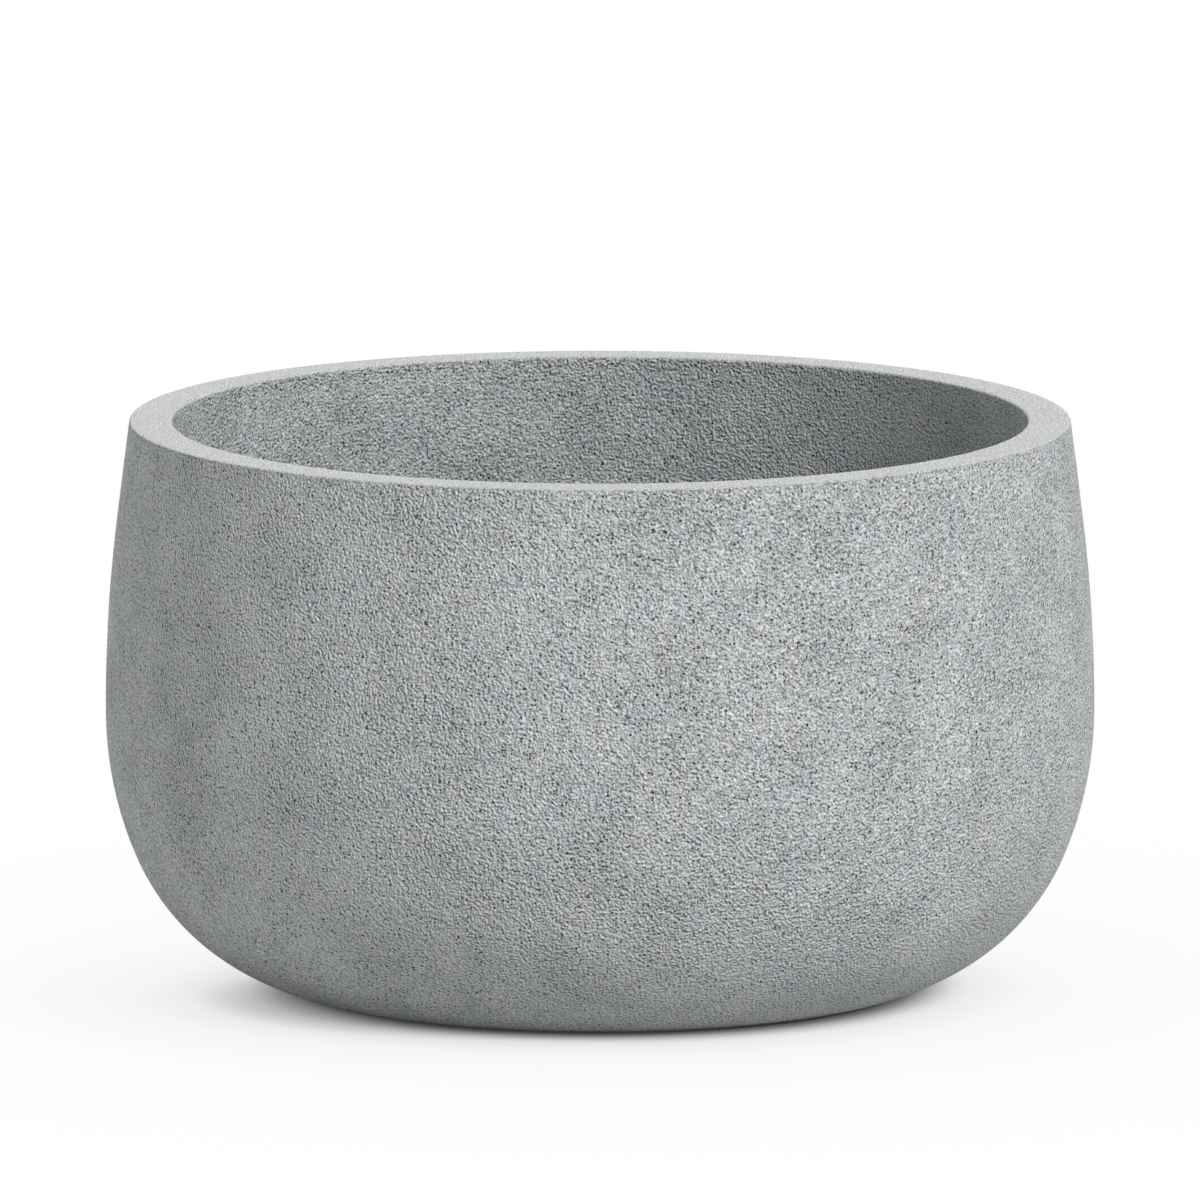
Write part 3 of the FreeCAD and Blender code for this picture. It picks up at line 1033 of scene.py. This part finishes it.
@dataclass
class Core(Assembly):
    """The poured foam between the skins, which keeps the shape of its CAD node."""

    def build(self) -> None:
        """Takes the foam's CAD node as it is."""
        self.pieces.append(Piece(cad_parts["foam_core"], Look.FOAM))


@dataclass
class Drain(Assembly):
    """The drain: a flanged sleeve with a threaded foot, a gasket under the flange and a nut."""

    bore: float = 12.0
    outlet: float = 13.0
    outlet_top: float = 13.0
    tube: float = 15.0
    foot: float = 6.0
    flange: float = 28.0
    flange_foot: float = 26.8
    lip: float = 29.8
    edge: float = 0.8
    thread_pitch: float = 1.2
    thread_depth: float = 0.5
    gasket_hole: float = 15.3
    gasket_foot: float = 25.3
    gasket_edge: float = 0.5
    nut_hole: float = 15.1
    nut_corner: float = 25.4
    nut_foot: float = 8.0
    nut_height: float = 8.0
    nut_edge: float = 1.0
    nut_turn: float = 30.0
    nut_sides: int = 6
    nut_cuts: int = 15
    round_steps: int = 96

    def build(self) -> None:
        """Makes the sleeve, the gasket and the nut."""
        self.pieces.append(Piece(self._sleeve(), Look.PLASTIC, ("drain_sleeve",)))
        self.pieces.append(Piece(self._gasket(), Look.RUBBER, ("drain_gasket",)))
        self.pieces.append(Piece(self._nut(), Look.PLASTIC, ("drain_nut",)))

    def _sleeve(self) -> bpy.types.Object:
        """Turns the sleeve, with rounded lips and a thread below the nut.

        Returns:
            The sleeve.
        """
        edge, foot = self.edge, self.foot
        lathe = Lathe(self.bore, self.lip - edge)
        lathe.arc((self.bore + edge, self.lip - edge), QUARTER, EDGE_STEPS)
        lathe.line(self.flange - edge, self.lip, 4)
        lathe.arc((self.flange - edge, self.lip - edge), QUARTER, EDGE_STEPS)
        lathe.line(self.flange, self.flange_foot)
        lathe.line(self.tube, self.flange_foot, 1, Hidden.YES)
        lathe.line(self.tube, self.nut_foot + self.thread_pitch, 1, Hidden.YES)
        level = self.nut_foot + self.thread_pitch
        while level - self.thread_pitch > foot + edge / 2:
            lathe.line(self.tube - self.thread_depth, level - self.thread_pitch / 2)
            lathe.line(self.tube, level - self.thread_pitch)
            level -= self.thread_pitch
        lathe.line(self.tube - self.thread_depth, foot + edge / 2)
        lathe.line(self.tube - edge, foot)
        lathe.line(self.outlet + edge, foot)
        lathe.arc((self.outlet + edge, foot + edge), QUARTER, EDGE_STEPS)
        lathe.line(self.outlet, self.outlet_top, 3)
        lathe.line(self.bore, self.outlet_top)
        lathe.close(Hidden.NO)
        return lathe.turn("drain_sleeve_turned", self.round_steps, strips=2)

    def _gasket(self) -> bpy.types.Object:
        """Turns the gasket, with a soft outer edge.

        Returns:
            The gasket.
        """
        edge, low, high = self.gasket_edge, self.gasket_foot, self.flange_foot
        lathe = Lathe(self.gasket_hole, high)
        lathe.line(self.flange - edge, high, 3)
        lathe.arc((self.flange - edge, high - edge), QUARTER, 3)
        lathe.line(self.flange, low + edge)
        lathe.arc((self.flange - edge, low + edge), QUARTER, 3)
        lathe.line(self.gasket_hole, low, 3)
        lathe.close(Hidden.NO)
        return lathe.turn("drain_gasket_turned", self.round_steps, strips=2)

    def _nut(self) -> bpy.types.Object:
        """Makes the nut: a flat ring drawn up to its height, with its edges broken.

        Returns:
            The nut.
        """
        mesh = bmesh.new()
        turn = Matrix.Rotation(math.radians(self.nut_turn), 4, "Z")
        foot = Matrix.Translation((0.0, 0.0, self.nut_foot * MM)) @ turn
        sides, cuts = self.nut_sides, self.nut_cuts
        bmesh.ops.create_circle(mesh, radius=self.nut_corner * MM, segments=sides, matrix=foot)
        bmesh.ops.subdivide_edges(mesh, edges=mesh.edges[:], cuts=cuts, use_grid_fill=False)
        rounds = sides * (cuts + 1)
        bmesh.ops.create_circle(mesh, radius=self.nut_hole * MM, segments=rounds, matrix=foot)
        ring = bmesh.ops.bridge_loops(mesh, edges=mesh.edges[:])["faces"]
        drawn = bmesh.ops.extrude_face_region(mesh, geom=ring)["geom"]
        top = [item for item in drawn if isinstance(item, bmesh.types.BMVert)]
        bmesh.ops.translate(mesh, verts=top, vec=(0.0, 0.0, self.nut_height * MM))
        bmesh.ops.recalc_face_normals(mesh, faces=mesh.faces[:])
        keen = [edge for edge in mesh.edges if edge.calc_face_angle(0.0) > SHARP_ANGLE]
        bmesh.ops.bevel(
            mesh, geom=keen, offset=self.nut_edge * MM, affect="EDGES",
            segments=3, profile=0.5, material=-1,
        )
        return finished(mesh, "drain_nut_cut")


@dataclass
class Plug(Assembly):
    """The rubber plug: a shank with two sealing ribs, a flange and a knob to pull it by."""

    shank: float = 11.1
    rib: float = 11.7
    end: float = 13.8
    rib_height: float = 3.0
    rib_slope: float = 0.9
    lip: float = 29.8
    flange: float = 20.0
    flange_top: float = 33.8
    neck: float = 5.0
    knob: float = 9.0
    knob_foot: float = 39.8
    knob_top: float = 47.8
    knob_round: float = 2.0
    dimple: float = 5.0
    dimple_depth: float = 0.6
    edge: float = 0.8
    round_steps: int = 96

    def build(self) -> None:
        """Turns the section of the plug."""
        edge, rise = self.edge, self.rib_height
        lathe = Lathe(0.0, self.end)
        lathe.line(self.shank - edge, self.end, 3)
        lathe.arc((self.shank - edge, self.end + edge), -QUARTER, EDGE_STEPS)
        for level in (self.end + rise, self.end + 3 * rise):
            lathe.line(self.shank, level)
            lathe.line(self.rib, level + self.rib_slope * rise, 2)
            lathe.line(self.rib, level + rise)
            lathe.line(self.shank, level + rise)
        lathe.line(self.shank, self.lip)
        lathe.line(self.flange - edge, self.lip, 3)
        lathe.arc((self.flange - edge, self.lip + edge), -QUARTER, EDGE_STEPS)
        lathe.line(self.flange, self.flange_top - edge)
        lathe.arc((self.flange - edge, self.flange_top - edge), -QUARTER, EDGE_STEPS)
        lathe.line(self.neck + 2 * edge, self.flange_top, 4)
        lathe.arc((self.neck + 2 * edge, self.flange_top + 2 * edge), QUARTER, 5)
        lathe.line(self.neck, self.knob_foot - edge, 2)
        lathe.arc((self.neck + edge, self.knob_foot - edge), QUARTER, 3)
        lathe.line(self.knob - edge, self.knob_foot, 2)
        lathe.arc((self.knob - edge, self.knob_foot + edge), -QUARTER, EDGE_STEPS)
        lathe.line(self.knob, self.knob_top - self.knob_round, 2)
        lathe.arc((self.knob - self.knob_round, self.knob_top - self.knob_round), -QUARTER, 6)
        lathe.line(self.dimple, self.knob_top)
        lathe.line(self.dimple - 2 * self.dimple_depth, self.knob_top - self.dimple_depth, 3)
        lathe.line(0.0, self.knob_top - self.dimple_depth, 3)
        plug = lathe.turn("drain_plug_turned", self.round_steps, strips=2)
        self.pieces.append(Piece(plug, Look.RUBBER, ("drain_plug",), Body.PLUG))


@dataclass
class Feet(Assembly):
    """The four rubber pads that the planter stands on, with ringed soles."""

    radius: float = 20.0
    height: float = 4.0
    from_axis: float = 86.49
    edge: float = 0.8
    groove: float = 1.6
    groove_depth: float = 0.7
    grooves: tuple[float, ...] = (5.0, 10.0, 15.0)
    round_steps: int = 72

    def build(self) -> None:
        """Turns one pad for each corner."""
        corners = ((1, 1), (-1, 1), (-1, -1), (1, -1))
        for number, (across, along) in enumerate(corners, start=1):
            place = Vector((across, along, 0.0)) * (self.from_axis * MM)
            pad = self._pad(f"foot_{number}", place)
            self.pieces.append(Piece(pad, Look.RUBBER, (f"foot_pad_{number}",)))

    def _pad(self, name: str, place: Vector) -> bpy.types.Object:
        """Turns a pad.

        Args:
            name: The pad's name.
            place: Where its axis stands, in metres.

        Returns:
            The pad.
        """
        lathe = Lathe(0.0, 0.0)
        half = self.groove / 2
        for ring in self.grooves:
            lathe.line(ring - half, 0.0, 2)
            lathe.line(ring - half / 2, self.groove_depth)
            lathe.line(ring + half / 2, self.groove_depth)
            lathe.line(ring + half, 0.0)
        lathe.line(self.radius - self.edge, 0.0, 2)
        lathe.line(self.radius, self.edge)
        lathe.line(self.radius, self.height, 2)
        lathe.line(0.0, self.height, 2, Hidden.YES)
        return lathe.turn(
            name, self.round_steps, strips=1,
            shape=lambda mesh: bmesh.ops.translate(mesh, verts=mesh.verts[:], vec=place),
        )


@dataclass(frozen=True)
class Lamp:
    """A distant soft light."""

    name: str
    turn: float
    height: float
    level: float
    softness: float

    def hang(self) -> None:
        """Hangs the lamp: turned right of the camera, raised from the floor, in degrees."""
        lamp = bpy.data.lights.new(self.name, "SUN")
        lamp.energy = self.level * math.pi
        lamp.angle = math.radians(self.softness)
        holder = bpy.data.objects.new(self.name, lamp)
        turn = Matrix.Rotation(math.radians(self.turn), 4, "Z")
        tilt = Matrix.Rotation(math.radians(QUARTER - self.height), 4, "X")
        holder.matrix_world = turn @ tilt
        bpy.context.scene.collection.objects.link(holder)


@dataclass(frozen=True)
class Shadow:
    """A soft oval of shade on the floor: its centre, squeeze and level by distance, in metres."""

    centre: Triple
    squeeze: Triple
    stops: tuple[Spot, ...]

    def level(self, graph: Graph) -> Wire:
        """The light that is left, from 0 to 1.

        Args:
            graph: The floor's graph.

        Returns:
            The light, as a grey.
        """
        near = graph.vector("SUBTRACT", graph.place(), self.centre)
        reach = graph.vector("LENGTH", graph.vector("MULTIPLY", near, self.squeeze)).beside("Value")
        return graph.add("ShaderNodeValToRGB", {"stops": self.stops}, {"Fac": reach})


@dataclass(frozen=True)
class Studio:
    """The floor, the lamps, the white surround and the camera."""

    lamps: tuple[Lamp, ...] = (
        Lamp("key", turn=40.0, height=40.0, level=0.735, softness=24.0),
        Lamp("back", turn=180.0, height=35.0, level=0.5, softness=60.0),
    )
    horizon_level: float = 0.76
    zenith_level: float = 0.08
    floor_colour: Colour = (0.76, 0.76, 0.76)
    floor_half: float = 30.0
    contact: Shadow = Shadow(
        centre=(0.004, 0.017, 0.0),
        squeeze=(1.0, 1.04, 0.0),
        stops=(
            (0.178, 0.003), (0.190, 0.195), (0.200, 0.475), (0.210, 0.725),
            (0.220, 0.860), (0.260, 0.945), (0.450, 0.985), (0.800, 1.0),
        ),
    )
    cast: Shadow = Shadow(
        centre=(-0.046, -0.033, 0.0),
        squeeze=(1.0, 1.32, 0.0),
        stops=((0.150, 0.465), (0.200, 0.880), (0.240, 0.960), (0.340, 1.0)),
    )
    lens: float = 705.84
    sensor: float = 36.0
    eye: Triple = (0.0, -14.0928, 2.4607)
    pitch: float = 8.9593
    far: float = 200.0

    def light(self) -> None:
        """Hangs the lamps and sets the surround."""
        for lamp in self.lamps:
            lamp.hang()
        world = bpy.data.worlds.new("surround")
        world.use_nodes = True
        bpy.context.scene.world = world
        graph = Graph(world.node_tree)
        seen = self._seen(graph)
        way = graph.add("ShaderNodeTexCoord", {}, {}, "Generated")
        up = graph.add("ShaderNodeSeparateXYZ", {}, {"Vector": way}, "Z")
        up = up.maths("MAXIMUM", up, 0.0)
        glow = self.horizon_level + (self.zenith_level - self.horizon_level) * up
        level = seen + (1 - seen) * glow
        sky = graph.add("ShaderNodeBackground", {}, {"Color": (1.0, 1.0, 1.0), "Strength": level})
        graph.add("ShaderNodeOutputWorld", {}, {"Surface": sky})

    @staticmethod
    def _seen(graph: Graph) -> Wire:
        """Tells which rays show the surround itself: straight, mirrored or through glass.

        Args:
            graph: The graph to add to.

        Returns:
            1 for such a ray and 0 for any other.
        """
        path = graph.add("ShaderNodeLightPath", {}, {}, "Is Camera Ray")
        glossy, through = path.beside("Is Glossy Ray"), path.beside("Is Transmission Ray")
        return path.maths("MAXIMUM", path, path.maths("MAXIMUM", glossy, through))

    def floor(self) -> None:
        """Lays the pale floor, white where it is seen and with the planter's soft shadow on it."""
        mesh = bmesh.new()
        bmesh.ops.create_grid(mesh, x_segments=2, y_segments=2, size=self.floor_half)
        piece = finished(mesh, "floor")
        material, graph = new_material("pale_floor")
        contact = self.contact.level(graph)
        shade = graph.blend(1.0, contact, self.cast.level(graph), "MULTIPLY")
        matte = {"Roughness": 1.0, "Specular IOR Level": 0.0}
        glow = {"Base Color": (0.0, 0.0, 0.0), "Emission Color": shade, "Emission Strength": 1.0}
        white = graph.add("ShaderNodeBsdfPrincipled", {}, {**matte, **glow})
        # painted shadow: the floor's bounce colour is darkened near the planter by the same contact
        # shade
        bounce_with_painted_shadow = graph.blend(1.0, contact, self.floor_colour, "MULTIPLY")
        pale = graph.add("ShaderNodeBsdfPrincipled", {}, {**matte, "Base Color": bounce_with_painted_shadow})
        either = graph.add("ShaderNodeMixShader", {}, {0: self._seen(graph), 1: pale, 2: white})
        graph.add("ShaderNodeOutputMaterial", {}, {"Surface": either})
        piece.data.materials.append(material)

    def camera(self) -> None:
        """Sets the camera where the photograph was taken from."""
        data = bpy.data.cameras.new("camera")
        data.lens = self.lens
        data.sensor_width = self.sensor
        data.clip_end = self.far
        holder = bpy.data.objects.new("camera", data)
        holder.location = self.eye
        holder.rotation_euler = (math.radians(QUARTER - self.pitch), 0.0, 0.0)
        bpy.context.scene.collection.objects.link(holder)
        bpy.context.scene.camera = holder


def main() -> None:
    """Builds and dresses the planter and sets the studio."""
    logging.basicConfig(level=logging.INFO, format="%(message)s")
    bpy.context.scene.view_settings.view_transform = "Standard"
    studio = Studio()
    studio.camera()
    studio.light()
    studio.floor()

    form, palette = PlanterForm(), Palette()
    for kind in (OuterSkin, Liner, Rim, Core, Drain, Plug, Feet):
        assembly = kind(form)
        assembly.build()
        assembly.dress(palette)


if __name__ == "__main__":
    main()
